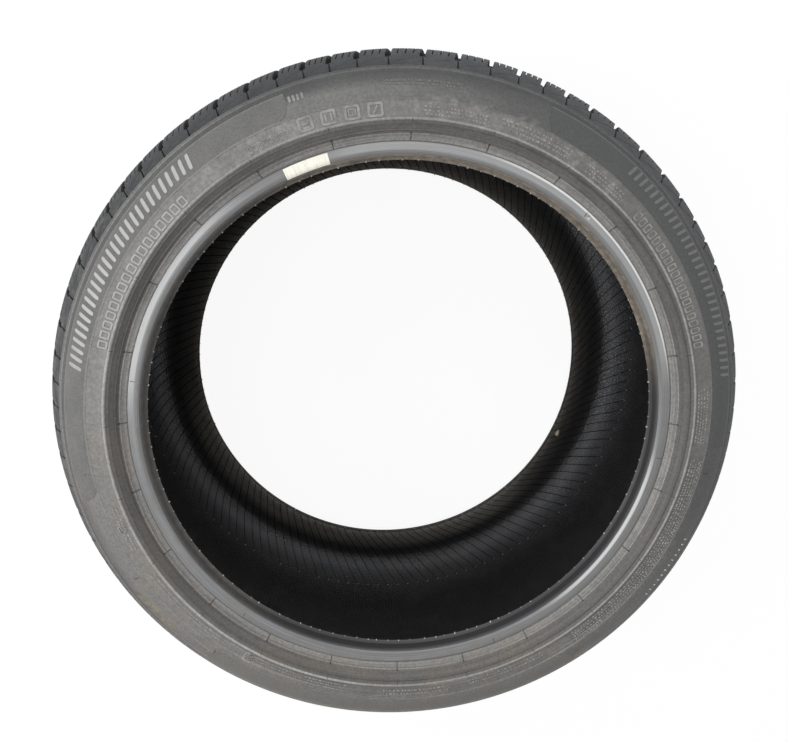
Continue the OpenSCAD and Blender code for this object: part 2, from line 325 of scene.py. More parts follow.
# Painted highlight: a pale line along the rim protector's edge, at the left and below.
shade = cover(tree, shade, "#cbcac7", 0.5, ring(tree, radius, 283.2, 284.6, 0.4), stretch(tree, turn, 140, 250, 18))
shade = cover(tree, shade, "#b4b3b0", 0.24, smears, stretch(tree, turn, 50, 88, 7), ring(tree, radius, 286, 302, 5))
shade = cover(tree, shade, "#b5b4b1", 0.2, smears, stretch(tree, turn, 112, 172, 10),
              ring(tree, radius, 285, 300, 2))
shade = cover(tree, shade, "#5a5957", 0.5, ring(tree, radius, 286.5, 298.5, 1), stretch(tree, turn, 307, 353, 1))
shade = cover(tree, shade, "#6e6253", 0.4, stretch(tree, turn, 195, 290, 30),
              add(tree, "MapRange", {"Value": clouds, "From Min": 0.42, "From Max": 0.66}))
shade = cover(tree, shade, "#a8a49d", 0.5, stretch(tree, turn, 232, 312, 18), ring(tree, radius, 286, 328, 2),
              add(tree, "MapRange", {"Value": turned, "From Min": 0.53, "From Max": 0.64}))
shade = cover(tree, shade, "#6f5a3c", 0.5, smears, stretch(tree, turn, 240, 300, 20),
              ring(tree, radius, 302, 326, 3))
shade = cover(tree, shade, "#96855f", 0.75, smears, stretch(tree, turn, 213, 221, 2),
              ring(tree, radius, 311, 322, 2))
shade = add(tree, "Mix", {0: 0.5, 6: shade, 7: add(tree, "ValToRGB", {0: grains}, stops=[
    (0.36, "#a2a2a2"), (0.64, "#ffffff")])}, out=2, data_type="RGBA", blend_type="MULTIPLY")
shade = add(tree, "Mix", {0: 0.6, 6: shade, 7: add(tree, "ValToRGB", {0: clouds}, stops=[
    (0.34, "#c9c9c9"), (0.66, "#ffffff")])}, out=2, data_type="RGBA", blend_type="MULTIPLY")
skin = add(tree, "TexNoise", {"Vector": place, "Scale": 1000 / 1.1, "Detail": 4.0, "Roughness": 0.65})
skin = add(tree, "Math", {0: skin, 1: turned}, operation="ADD")
skin = add(tree, "Bump", {"Strength": 0.3, "Distance": 0.0002, "Height": skin})
gloss = add(tree, "MapRange", {"Value": clouds, "From Min": 0.3, "From Max": 0.7, "To Min": 0.56, "To Max": 0.72})
face = add(tree, "BsdfPrincipled", {"Base Color": shade, "Roughness": gloss, "IOR": 1.5, "Normal": skin})
add(tree, "OutputMaterial", {"Surface": face})

# The outer face and heel of the bead, polished by the mould's bead ring and by tyre levers: satin, bluish, with
# fine lines that run round it, and with painted highlights in pale arcs on its outer edge and heel.
bead_rubber, tree, place, radius, turn, height = new_material("satin_bead_rubber")
turned = add(tree, "CombineXYZ", {0: add(tree, "Math", {0: radius, 1: 1000.0}, operation="MULTIPLY"),
                                  1: add(tree, "Math", {0: height, 1: 1000.0}, operation="MULTIPLY"),
                                  2: add(tree, "Math", {0: turn, 1: 1.2}, operation="MULTIPLY")})
turned = add(tree, "TexNoise", {"Vector": turned, "Scale": 1.4, "Detail": 4.0, "Roughness": 0.6})
shade = add(tree, "ValToRGB", {0: turned}, stops=[(0.3, "#5a5a5b"), (0.5, "#6f7071"), (0.72, "#868788")])
smears = add(tree, "TexNoise", {"Vector": place, "Scale": 1000 / 14, "Detail": 5.0, "Roughness": 0.65})
smears = add(tree, "MapRange", {"Value": smears, "From Min": 0.45, "From Max": 0.68})
shade = cover(tree, shade, "#6a655f", 0.5, smears)
# Painted highlights: pale arcs on the outer edge at the upper right, on the face at the top and upper left, and on
# the heel at the lower right.
shade = cover(tree, shade, "#e4e5e6", 0.85, ring(tree, radius, 264.0, 265.7, 0.5), stretch(tree, turn, 22, 62, 16))
shade = cover(tree, shade, "#d0d1d2", 0.42, ring(tree, radius, 261, 265.6, 1.2), stretch(tree, turn, 138, 166, 16))
shade = cover(tree, shade, "#cfd0d0", 0.25, ring(tree, radius, 259.5, 266, 1.5), stretch(tree, turn, 18, 98, 14))
shade = cover(tree, shade, "#d2d3d3", 0.6, ring(tree, radius, 255.4, 257.4, 0.8), stretch(tree, turn, 318, 342, 14))
skin = add(tree, "Bump", {"Strength": 0.3, "Distance": 0.00015, "Height": turned})
face = add(tree, "BsdfPrincipled", {"Base Color": shade, "Roughness": 0.32, "IOR": 1.52, "Normal": skin})
add(tree, "OutputMaterial", {"Surface": face})

# The seat and toe of the bead, where rim and rust have rubbed brown dust into the rubber.
seat_rubber, tree, place, radius, turn, _ = new_material("rubbed_seat_rubber")
rust = add(tree, "TexNoise", {"Vector": place, "Scale": 1000 / 7, "Detail": 5.0, "Roughness": 0.65})
rust = add(tree, "MapRange", {"Value": rust, "From Min": 0.2, "From Max": 0.6})
shade = by_radius(tree, radius, [(250.4, "#3a3a3b"), (251.4, "#2c2c2e"), (253.2, "#303032"), (254.9, "#4c4d4e")])
shade = cover(tree, shade, "#8f8578", 0.85, rust, stretch(tree, turn, 25, 105, 22))
shade = cover(tree, shade, "#6b6762", 0.5, rust, stretch(tree, turn, 120, 220, 30))
skin = add(tree, "TexNoise", {"Vector": place, "Scale": 1000 / 1.6, "Detail": 4.0, "Roughness": 0.6})
skin = add(tree, "Bump", {"Strength": 0.4, "Distance": 0.0003, "Height": skin})
face = add(tree, "BsdfPrincipled", {"Base Color": shade, "Roughness": 0.5, "IOR": 1.5, "Normal": skin})
add(tree, "OutputMaterial", {"Surface": face})

rubber_piece(casing, side_rubber, bead_rubber, seat_rubber)
for face in casing.data.polygons:
    r, z = math.hypot(face.center.x, face.center.y) / MM, abs(face.center.z) / MM
    if r < 265.95 and z > 122:
        face.material_index = 1 if r > 254.9 and z > 136 else 2

# Panels. Three long matt plates on each side, raised a little by the mould, that run round the
# side between the trim ring and the rim protector, with round corners at their inner ends.
outer_line = np.vstack([along(SHOULDER, np.linspace(0, 1, 90)), [(285.2, 152.5), (284.4, 152.4), (283.2, 151.6)],
                        along(FLANGE, np.linspace(0.02, 1, 40)), [(265.4, 138.3), (264.6, 138.5), (259.7, 138.5)]])
outer_line = outer_line[np.argsort(outer_line[:, 0])]


def on_side(radius, angle, rise):
    """Points on the upper side, from radii in millimetres, angles in degrees and rises."""
    height = np.interp(radius, *outer_line.T)
    slope = np.interp(radius + 0.4, *outer_line.T) - np.interp(radius - 0.4, *outer_line.T)
    steep = np.hypot(slope, 0.8)
    radius, height = radius - rise * slope / steep, height + rise * 0.8 / steep
    angle = np.radians(angle)
    return np.stack([radius * np.cos(angle), radius * np.sin(angle), height], -1) * MM


def turned_over(piece, name, degrees=0.0):
    """A copy for the tyre's other side, turned over about X and then round the axis."""
    made = piece.copy()
    made.data = piece.data.copy()
    made.name = made.data.name = name
    bpy.context.collection.objects.link(made)
    made.data.transform(Matrix.Rotation(math.radians(degrees), 4, "Z") @ Matrix.Rotation(math.pi, 4, "X"))
    return made


PANEL_IN, PANEL_MID, PANEL_OUT = 300.8, 312, 323.6
PANEL_THICK, CORNER = 0.9, 15
plates = []
for low, high in ((-5, 66), (109.5, 193), (231, 305)):
    columns, levels = int((high - low) / 0.8), 9
    bpy.ops.object.select_all(action="DESELECT")
    bpy.ops.mesh.primitive_grid_add(x_subdivisions=columns, y_subdivisions=levels, size=1)
    plate = fresh("panel")
    share = np.linspace(0, 1, columns + 1)
    share = 0.5 - 0.5 * np.cos(np.pi * share) * (0.35 + 0.65 * np.abs(np.cos(np.pi * share)) ** 0.5)
    angle = low + (high - low) * share
    from_end = np.minimum(share, 1 - share) * math.radians(high - low) * PANEL_MID
    inner = PANEL_IN + CORNER - np.sqrt(CORNER ** 2 - np.clip(CORNER - from_end, 0, CORNER) ** 2)
    part = np.linspace(0, 1, levels + 1)[:, None]
    radius_at = inner + (PANEL_OUT - inner) * part
    spots = on_side(radius_at, np.broadcast_to(angle, radius_at.shape), 0.0)
    plate.data.vertices.foreach_set("co", spots.astype(np.float32).reshape(-1))
    bpy.ops.object.modifier_add(type="SOLIDIFY")
    plate.modifiers[0].thickness, plate.modifiers[0].offset = PANEL_THICK * MM, 1
    bpy.ops.object.modifier_apply(modifier=plate.modifiers[0].name)
    plates.append(plate)
bpy.ops.object.select_all(action="DESELECT")
for plate in plates:
    plate.select_set(True)
bpy.context.view_layer.objects.active = plates[0]
bpy.ops.object.join()
panels = fresh("side_panels_upper")
finish_mesh(panels, 30)

# Vulcanised rubber where the mould is spark eroded: it scatters light evenly, so it looks flat. It is darkest at
# the upper right and greyer below where dust has settled, with painted highlights along the panels' edges.
panel_rubber, tree, place, radius, turn, _ = new_material("spark_eroded_panel_rubber")
clouds = add(tree, "TexNoise", {"Vector": place, "Scale": 1000 / 30, "Detail": 4.0, "Roughness": 0.6})
fine = add(tree, "TexNoise", {"Vector": place, "Scale": 1000 / 1.8, "Detail": 3.0, "Roughness": 0.7})
shade = add(tree, "ValToRGB", {0: clouds}, stops=[(0.34, "#60605e"), (0.66, "#6a6967")])
shade = cover(tree, shade, "#464748", 0.85, stretch(tree, turn, -10, 70, 25))
shade = cover(tree, shade, "#72706b", 0.4, stretch(tree, turn, 225, 310, 10))
# Painted highlights along the panels' inner edge at the left and along their outer edge all round.
shade = cover(tree, shade, "#8c8b89", 0.5, ring(tree, radius, 300, 301.6, 0.5), stretch(tree, turn, 85, 215, 12))
shade = cover(tree, shade, "#8c8b89", 0.4, ring(tree, radius, 323, 325, 0.5))
shade = add(tree, "Mix", {0: 0.45, 6: shade, 7: add(tree, "ValToRGB", {0: fine}, stops=[
    (0.36, "#a8a8a8"), (0.64, "#ffffff")])}, out=2, data_type="RGBA", blend_type="MULTIPLY")
skin = add(tree, "Bump", {"Strength": 0.5, "Distance": 0.0002, "Height": fine})
face = add(tree, "BsdfPrincipled", {"Base Color": shade, "Roughness": 0.78, "IOR": 1.5, "Normal": skin})
add(tree, "OutputMaterial", {"Surface": face})
rubber_piece(panels, panel_rubber)
rubber_piece(turned_over(panels, "side_panels_lower"))

# Marks. Plain raised bars, frames, blocks and dashes that fill the bands of the side where a
# tyre carries moulded marks. The mould presses them with drafted walls; they say nothing.
def master(name, sides, inset=0.0, cuts=()):
    """A block one unit wide with round corners and drafted walls, or a frame of it."""
    bpy.ops.object.select_all(action="DESELECT")
    bpy.ops.mesh.primitive_cube_add(size=1, location=(0, 0, 0))
    made = fresh(name)
    for edge in made.data.edges:
        one, two = (made.data.vertices[k].co for k in edge.vertices)
        edge.select = abs(one.z - two.z) > 0.5
    for part in list(made.data.polygons):
        part.select = False
    bpy.ops.object.mode_set(mode="EDIT")
    bpy.ops.mesh.select_mode(type="EDGE")
    if sides:
        bpy.ops.mesh.bevel(offset=0.16, segments=sides, affect="EDGES")
    bpy.ops.mesh.select_mode(type="FACE")
    bpy.ops.object.mode_set(mode="OBJECT")
    for part in made.data.polygons:
        part.select = abs(part.normal.z) > 0.9 if inset else part.normal.z > 0.9
    bpy.ops.object.mode_set(mode="EDIT")
    if inset:
        bpy.ops.mesh.inset(thickness=inset)
        bpy.ops.mesh.bridge_edge_loops()
    else:
        bpy.ops.transform.resize(value=(0.88, 0.92, 1), center_override=(0, 0, 0.5))
    for cut in cuts:
        bpy.ops.mesh.select_all(action="SELECT")
        bpy.ops.mesh.bisect(plane_co=(0, cut, 0), plane_no=(0, 1, 0))
    bpy.ops.object.mode_set(mode="OBJECT")
    shape = (np.array([k.co for k in made.data.vertices]), [tuple(k.vertices) for k in made.data.polygons])
    bpy.data.objects.remove(made)
    return shape


ROOT = -0.9         # the foot of each mark is this far inside the side
plain_dash = master("dash", 0)
block = master("block", 1)
tall_bar = master("tall_bar", 1, cuts=(-0.25, 0.0, 0.25))
frame_mark = master("frame_mark", 2, inset=0.17)


def joined(name, points, faces):
    """One finished mesh of these groups of points and their faces."""
    mesh = bpy.data.meshes.new(name)
    mesh.from_pydata(np.vstack(points).tolist(), [], faces)
    made = bpy.data.objects.new(name, mesh)
    bpy.context.collection.objects.link(made)
    finish_mesh(made, 30)
    return made


def pressed(name, marks):
    """One mesh of masters laid on the upper side, each at its angle and radius, and its size."""
    points, faces = [], []
    start = 0
    for shape, angle, radius, wide, tall, top, slant in marks:
        u, v, w = shape[0].T
        r = radius + v * tall
        points.append(on_side(r, angle + np.degrees((u * wide + slant * v * tall) / r), np.where(w > 0, top, ROOT)))
        faces += [tuple(start + k for k in part) for part in shape[1]]
        start += len(u)
    return joined(name, points, faces)


def row(shape, low, high, step, radius, wide, tall, top, slant=0.0):
    """Like marks in a row between two angles, a step in millimetres apart."""
    many = max(1, round(math.radians(high - low) * radius / step))
    return [(shape, low + (k + 0.5) * (high - low) / many, radius, wide, tall, top, slant) for k in range(many)]


def lines(low, high, radii, tall, top):
    """Rows of short dashes of uneven length, as a block of small marks."""
    made = []
    for radius in radii:
        angle = low
        while angle < high:
            wide = random.choice((1.2, 1.8, 2.4, 3.4))
            made.append((plain_dash, angle + math.degrees(wide / 2 / radius), radius, wide, tall, top, 0))
            angle += math.degrees((wide + random.choice((0.9, 1.1, 2.2))) / radius)
    return made


FLAT = -0.02        # tops on the flat band lie just under the side's widest plane
marks = row(tall_bar, 8, 50, 7.4, 316.2, 3.4, 12.5, 0.3, -0.28)
marks += row(tall_bar, 127, 169, 7.8, 312.6, 4.0, 15, 0.3, -0.2)
marks += row(frame_mark, 132, 164, 9.4, 290.8, 7.4, 9, FLAT) + row(frame_mark, 15, 44, 7.4, 291.2, 5.4, 9, FLAT)
marks += lines(48, 56, (288.4, 291.6, 294.8), 1.7, FLAT) + lines(60, 73, (289, 292.6, 296.2), 1.8, FLAT)
marks += lines(76, 87, (288.2, 291.4, 294.6), 1.7, FLAT) + lines(-4, 7, (287.6, 290.4, 293.2, 296), 1.5, FLAT)
marks += lines(195.5, 204.5, (289.5, 293), 2, FLAT) + lines(211, 232, (288.6, 292), 1.6, FLAT)
marks += lines(237, 258, (288, 291, 294), 1.4, FLAT) + lines(266, 279, (290, 294), 1.8, FLAT)
marks += lines(284, 300, (288.6, 292), 1.5, FLAT) + lines(307.6, 352.4, (288, 290.7, 293.4, 296.1, 298), 1.4, FLAT)
marks += lines(81, 93.5, (316.6, 313.6), 2.0, 0.05) + row(block, 106.4, 109.2, 4.4, 316.5, 2.6, 6, 0.15)
marks += row(frame_mark, 110.7, 118.6, 5, 290.8, 3.8, 5.6, FLAT) + row(block, 323, 337, 6.3, 317.4, 1.5, 3.2, 0.25)
for angle in (95.4, 99.4, 103.5, 107.6):
    marks.append((frame_mark, angle, 292.6, 14, 12.6, FLAT, 0))
marks += [(tall_bar, 95.4, 292.6, 2.2, 7.6, FLAT, -0.5), (frame_mark, 99.4, 292.6, 7, 6.4, FLAT, 0),
          (block, 103.0, 292.6, 2, 7, FLAT, 0), (block, 104.0, 292.6, 2, 7, FLAT, 0),
          (block, 107.6, 292.6, 6.6, 2, FLAT, 0), (block, 107.6, 289.4, 6.6, 2, FLAT, 0),
          (frame_mark, 199.9, 292, 8, 8, FLAT, 0), (frame_mark, 237, 292, 10, 11, FLAT, 0)]
raised = pressed("side_marks_upper", marks)

# Vulcanised rubber, paler on top than the side, most at the left and lower right, and darker at the top and upper
# right.
mark_rubber, tree, place, radius, turn, _ = new_material("pale_topped_mark_rubber")
smears = add(tree, "TexNoise", {"Vector": place, "Scale": 1000 / 9, "Detail": 4.0, "Roughness": 0.6})
shade = add(tree, "ValToRGB", {0: smears}, stops=[(0.36, "#6c6b69"), (0.64, "#8c8b88")])
shade = cover(tree, shade, "#5d5e5e", 0.9, ring(tree, radius, 308, 324), stretch(tree, turn, 0, 60))
shade = cover(tree, shade, "#a2a2a1", 0.9, ring(tree, radius, 303, 322), stretch(tree, turn, 124, 160, 16))
shade = cover(tree, shade, "#a5a4a2", 0.6, ring(tree, radius, 285, 297), stretch(tree, turn, 130, 166, 3))
shade = cover(tree, shade, "#c6c5c3", 0.9, ring(tree, radius, 314, 321), stretch(tree, turn, 320, 340, 3))
shade = cover(tree, shade, "#4c4b4a", 0.7, ring(tree, radius, 311, 320), stretch(tree, turn, 79, 96, 3))
skin = add(tree, "TexNoise", {"Vector": place, "Scale": 1000 / 1.2, "Detail": 3.0, "Roughness": 0.6})
skin = add(tree, "Bump", {"Strength": 0.3, "Distance": 0.0002, "Height": skin})
face = add(tree, "BsdfPrincipled", {"Base Color": shade, "Roughness": 0.55, "IOR": 1.5, "Normal": skin})
add(tree, "OutputMaterial", {"Surface": face})
rubber_piece(raised, mark_rubber)
rubber_piece(turned_over(raised, "side_marks_lower"))

# Vent lines. Thin ribs and dots across the flange hollow every 15 degrees, where rubber has run
# into the joints and vents of the mould's ring, and torn flash along the toe of the bead.
vents = []
for angle in range(14, 374, 15):
    vents += [(plain_dash, angle, 269.6, 0.6, 6.6, 0.25, 0), (block, angle, 273.2, 1.7, 1.9, 0.35, 0),
              (plain_dash, angle, 282.6, 0.6, 3.4, 0.2, 0)]
for angle in (50, 110, 170, 231.5, 292, 351):
    vents.append((plain_dash, angle, 262.2, 0.6, 5.6, 0.15, 0))
for angle in (188, 210, 231, 350):
    vents.append((plain_dash, angle, 306.6, 0.8, 6, 0.12, 0))
vent_ribs = pressed("vent_ribs_upper", vents)

# Vulcanised rubber flash, near black beside the dusty side: painted shade for ribs and dots too small to show their
# own shadow.
vent_rubber, tree, place, *_ = new_material("vent_rubber_painted_shade")
fine = add(tree, "TexNoise", {"Vector": place, "Scale": 1000 / 2.0, "Detail": 3.0, "Roughness": 0.6})
shade = add(tree, "ValToRGB", {0: fine}, stops=[(0.35, "#242323"), (0.65, "#333231")])
face = add(tree, "BsdfPrincipled", {"Base Color": shade, "Roughness": 0.6, "IOR": 1.5})
add(tree, "OutputMaterial", {"Surface": face})
rubber_piece(vent_ribs, vent_rubber)
rubber_piece(turned_over(vent_ribs, "vent_ribs_lower"))


def beads_of_flash(name, spots):
    """Small blunt bits, each at radius, angle and height, standing inwards, and its three sizes."""
    points, faces = [], []
    for count, (radius, angle, height, wide, deep, tall) in enumerate(spots):
        shape = np.array(block[0])
        a = math.radians(angle)
        r = radius - shape[:, 2] * deep
        side_ = shape[:, 0] * wide * np.where(shape[:, 2] > 0, 0.7, 1.0)
        points.append(np.stack([r * math.cos(a) - side_ * math.sin(a), r * math.sin(a) + side_ * math.cos(a),
                                height + shape[:, 1] * tall], 1) * MM)
        faces += [tuple(count * len(shape) + k for k in part) for part in block[1]]
    return joined(name, points, faces)


toe = []
for k in range(128):
    angle = k * 360 / 128 + random.uniform(-0.5, 0.5)
    toe.append((250.7, angle, 123.6, random.uniform(1.0, 2.0), random.uniform(1.0, 2.2), random.uniform(0.8, 1.4)))
toe_flash = beads_of_flash("toe_flash_upper", toe)

# The same flash with chalky talc from the mould in it: pale beige.
flash_rubber, tree, place, *_ = new_material("talc_dusted_flash")
fine = add(tree, "TexNoise", {"Vector": place, "Scale": 1000 / 6.0, "Detail": 3.0, "Roughness": 0.7})
shade = add(tree, "ValToRGB", {0: fine}, stops=[(0.4, "#5c5a56"), (0.5, "#aaa69b"), (0.62, "#cfccc2")])
face = add(tree, "BsdfPrincipled", {"Base Color": shade, "Roughness": 0.7, "IOR": 1.5})
add(tree, "OutputMaterial", {"Surface": face})
chip = pressed("heel_chip", [(block, 49.3, 262, 4.8, 3.8, 0.4, 0.3)])
rubber_piece(chip, flash_rubber)
rubber_piece(toe_flash, flash_rubber)
rubber_piece(turned_over(toe_flash, "toe_flash_lower"))

# Liner. The thin airtight skin on the inside of the tyre, butyl rubber, marked every 2.5
# degrees by the vent lines of the curing bladder, which lean, and end in dots on the crown.
RIBS = 144
path = np.vstack([
    along(LINER_BEAD, np.linspace(0, 0.96, 11)), along(LINER_SHOULDER, np.linspace(0, 1, 13)),
    [(338.9, 64), (339.45, 56), (339.7, 50), (340.7, 25)]])
side_rows = len(path)
path = np.vstack([path, [(341, 0)], path[::-1] * [1, -1]])
# The back of the liner, out of sight inside the casing.
back = np.vstack([along(LINER_BEAD, np.linspace(0.04, 0.9, 4), [-1.6, -3.6, -4, -4]),
                  along(LINER_SHOULDER, np.linspace(0.1, 1, 5), -4), [(343.6, 50), (344.6, 25)]])
back = np.vstack([back, back[::-1] * [1, -1]])[::-1]
loop = np.vstack([path, back])
length = np.concatenate([[0], np.cumsum(np.linalg.norm(np.diff(path, axis=0), axis=1))])
length -= length[side_rows]
flank = length[side_rows] - length[10]
leaning = 0.5 * np.clip(length, -flank, flank) + 0.3 * (length - np.clip(length, -flank, flank))
leaning = np.concatenate([-leaning, -np.interp(back[:, 1], path[::-1, 1], leaning[::-1])])
bladder = np.array([-0.55, -0.4, 0.4, 0.55, 7.0])
deep = np.zeros((len(loop), len(bladder)))
LINE_END = 18       # the row of the shoulder at which the bladder's lines end
for k in list(range(1, LINE_END)) + list(range(len(path) - LINE_END, len(path) - 1)):
    deep[k, 1:3] = 0.5
deep = np.tile(deep, (1, RIBS))
turns = np.repeat(np.arange(RIBS) * 360 / RIBS, len(bladder)) \
    + np.degrees((np.tile(bladder, RIBS)[None] + leaning[:, None]) / loop[:, :1])


def closed_ring(name, radius, height, turn):
    """A grid of these radii, heights and angles, bent round and closed both ways."""
    rows, columns = radius.shape
    bpy.ops.object.select_all(action="DESELECT")
    bpy.ops.mesh.primitive_grid_add(x_subdivisions=columns, y_subdivisions=rows, size=1)
    made = fresh(name)
    radius, height, turn = (np.pad(k, ((0, 1), (0, 1)), mode="wrap") for k in (radius, height, np.radians(turn)))
    spots = np.stack([radius * np.cos(turn), radius * np.sin(turn), height], -1) * MM
    made.data.vertices.foreach_set("co", spots.astype(np.float32).reshape(-1))
    return made


def sunk_faces(piece, line, limit):
    """1 for each face that lies deeper than this under a line of radius and height, else 0."""
    centres = np.zeros(len(piece.data.polygons) * 3)
    piece.data.polygons.foreach_get("center", centres)
    centres = centres.reshape(-1, 3) / MM
    where = np.stack([np.hypot(centres[:, 0], centres[:, 1]), centres[:, 2]], 1)
    nearest = np.full(len(where), 1e9)
    for one, two in zip(line[:-1], line[1:]):
        part = np.clip((where - one) @ (two - one) / max((two - one) @ (two - one), 1e-9), 0, 1)
        nearest = np.minimum(nearest, np.linalg.norm(where - one - part[:, None] * (two - one), axis=1))
    return (nearest > limit).astype(np.int32)


step = np.roll(loop, -1, 0) - np.roll(loop, 1, 0)
out = np.stack([step[:, 1], -step[:, 0]], 1) / np.linalg.norm(step, axis=1)[:, None]
liner = closed_ring("inner_liner", loop[:, :1] - out[:, :1] * deep, loop[:, 1:] - out[:, 1:] * deep, turns)
finish_mesh(liner, 40)

# Butyl rubber, blacker and smoother than the sidewall, with the leather-like grain of the bladder; the flanks by
# the beads are grainier and greyed by dust. A pale band on the shoulder is a painted highlight. The crown and the
# band inside the shoulder are darkened partly by their own black and partly by painted shade.
liner_rubber, tree, place, radius, turn, _ = new_material("butyl_liner_rubber")
grain = add(tree, "TexVoronoi", {"Vector": place, "Scale": 1000 / 3.2, "Randomness": 1.0},
            feature="DISTANCE_TO_EDGE")
grain = add(tree, "MapRange", {"Value": grain, "From Max": 0.25})
fine = add(tree, "TexNoise", {"Vector": place, "Scale": 1000 / 1.3, "Detail": 4.0, "Roughness": 0.6})
skin = add(tree, "Bump", {"Strength": 0.75, "Distance": 0.0005,
                          "Height": add(tree, "Math", {0: grain, 1: fine}, operation="ADD")})
# Painted highlight at 314 mm on the shoulder. Painted shade, over the rubber's own black, from 281 to 300 mm and
# over the crown from 327 mm on.
shade = by_radius(tree, radius, [(251, "#63605c"), (262, "#4f4c49"), (272, "#413f3d"),
                                 (281, "#262626"), (291, "#232324"), (300, "#2b2c2e"),
                                 (306, "#333437"), (314, "#424347"), (321, "#2d2e31"),
                                 (327, "#222326"), (334, "#17181a"), (342, "#17181a")])
shade = cover(tree, shade, "#a19d96", 0.4, ring(tree, radius, 248, 272, 16), stretch(tree, turn, 205, 300, 25))
dust = add(tree, "TexNoise", {"Vector": place, "Scale": 1000 / 24, "Detail": 5.0, "Roughness": 0.65})
shade = cover(tree, shade, "#3b3835", 0.5, add(tree, "MapRange", {"Value": dust, "From Min": 0.5, "From Max": 0.8}))
shade = cover(tree, shade, "#0f0f10", 0.5,
              add(tree, "MapRange", {"Value": grain, "From Min": 0.5, "From Max": 0.0}))
gloss = add(tree, "MapRange", {"Value": radius, "From Min": 0.28, "From Max": 0.292, "To Min": 0.6, "To Max": 0.36})
face = add(tree, "BsdfPrincipled", {"Base Color": shade, "Roughness": gloss, "IOR": 1.5, "Normal": skin})
add(tree, "OutputMaterial", {"Surface": face})

# The same rubber down in the bladder's lines, where no light and no dust gets.
line_rubber, tree, place, *_ = new_material("shaded_liner_rubber")
fine = add(tree, "TexNoise", {"Vector": place, "Scale": 1000 / 2.0, "Detail": 3.0, "Roughness": 0.6})
shade = add(tree, "ValToRGB", {0: fine}, stops=[(0.35, "#0b0b0c"), (0.65, "#131314")])
face = add(tree, "BsdfPrincipled", {"Base Color": shade, "Roughness": 0.9, "IOR": 1.5, "Specular IOR Level": 0.1})
add(tree, "OutputMaterial", {"Surface": face})
rubber_piece(liner, liner_rubber, line_rubber)
sunk = sunk_faces(liner, path, 0.2)
sunk[sunk_faces(liner, path, 0.95) == 1] = 0
liner.data.polygons.foreach_set("material_index", sunk)

dots = []
for k in range(RIBS):
    for level_ in (LINE_END, len(path) - 1 - LINE_END):
        dots.append((path[level_, 0] - 0.1, k * 360 / RIBS + math.degrees(leaning[level_] / path[level_, 0]),
                     path[level_, 1], 1.3, 0.8, 1.3))
vent_dots = beads_of_flash("bladder_vent_dots", dots)
rubber_piece(vent_dots, flash_rubber)

# Tread, upper half. Shoulder blocks between slots, and ribs between the grooves that run
# round the tyre. It is moulded in one with the casing, by the engraved segments of the mould.
PITCHES = 76
pitch = 360 / PITCHES
even = 6 + np.arange(PITCHES) * pitch
slots = even + 0.85 * np.sin(np.radians(10 * (even - 49)))
gaps = np.roll(slots, -1) - slots
gaps[-1] += 360


# The slant of each kind of slot in degrees, and the height at which it hasn't moved sideways.
SHOULDER_SLOT, RIB_SLOT, NOTCH = (10, 100), (-32, 54.52), (16, 14)
SLANT_END = 117     # the shoulder slots run straight below this height
GROOVE_DEEP, WEAR_BAR_DEEP = 7.5, 5.9
FOOT_TOP, FOOT_END, FOOT_ROWS = 0.365, 0.512, 9     # the stretch of the shoulder with the foot lines


def leant(z, slant):
    """How far a slot that crosses the crown at a slant has moved sideways at this height."""
    degrees, middle = slant
    return math.tan(math.radians(degrees)) * (z - middle)


# One row of the tread: its place, then half the width and the depth of the slot there, how far the
# slot has leant sideways, and the depth of the groove and of the fine cuts. A notch that only
# every other pitch has is written with a negative width.
rows = [(crown(z), half, deep, x, 0, 0) for z, half, deep, x in [
    (0, 0, 0, 0), (9.4, 0, 0, leant(9.4, NOTCH)), (10.0, -0.8, 5, leant(10, NOTCH)),
    (16.8, -0.8, 5, leant(16.8, NOTCH))]]
for middle, half_w, before, after in (
        (23, 5.5, (-0.8, 5, leant(17.4, NOTCH)), (0, 0, 1.2)),
        (63, 4.75, (1.1, 6, leant(58.2, RIB_SLOT)), (2.2, 6.5, leant(67.8, SHOULDER_SLOT)))):
    edges = [(-0.1, 0.2), (0.25, 1.4), (0.79, GROOVE_DEEP)]
    rows += [(crown(middle - half_w + inward), *before, deep, 0) for inward, deep in edges]
    rows.append((crown(middle), 0, 0, (before[2] + after[2]) / 2, GROOVE_DEEP, 0))
    rows += [(crown(middle + half_w - inward), *after, deep, 0) for inward, deep in edges[::-1]]
    if middle == 23:
        rows += [(crown(z), half, deep, x, 0, 0) for z, half, deep, x in [
            (29.4, 0, 0, 1.6), (45.7, 0, 0, leant(45.7, RIB_SLOT)),
            (46.4, 1.1, 6, leant(46.4, RIB_SLOT)), (57.5, 1.1, 6, leant(57.5, RIB_SLOT))]]
rows += [(crown(z), 2.2, 6.5, leant(z, SHOULDER_SLOT), 0, 3.4) for z in (68.5, 75, 82, 90)]
rows += [(t, 2.2 + 1.6 * t, 6.5 - 1.7 * t / 0.36, leant(min(along(SHOULDER, t)[0, 1], SLANT_END), SHOULDER_SLOT), 0,
          2.2 if t < 0.285 else 0) for t in (0.05, 0.1, 0.16, 0.22, 0.28, 0.295, 0.357)]
foot = len(rows)
rows += [(FOOT_TOP, 0.7 if q < 7 else 1.1, 1.8 if q < 7 else 2.3, leant(SLANT_END, SHOULDER_SLOT), 0, 0)
         for q in range(FOOT_ROWS)]
rows += [(0.518, 0, 0, 0, 0.8, 0), (0.5205, 0, 0, 0, 3.6, 0)]
rows += [(t, 0, 0, 0, 9.8, 0) for t in (0.48, 0.34, 0.18, 0.04)]
rows += [(crown(z), 0, 0, 0, 9.9, 0) for z in (84, 40, 0)]

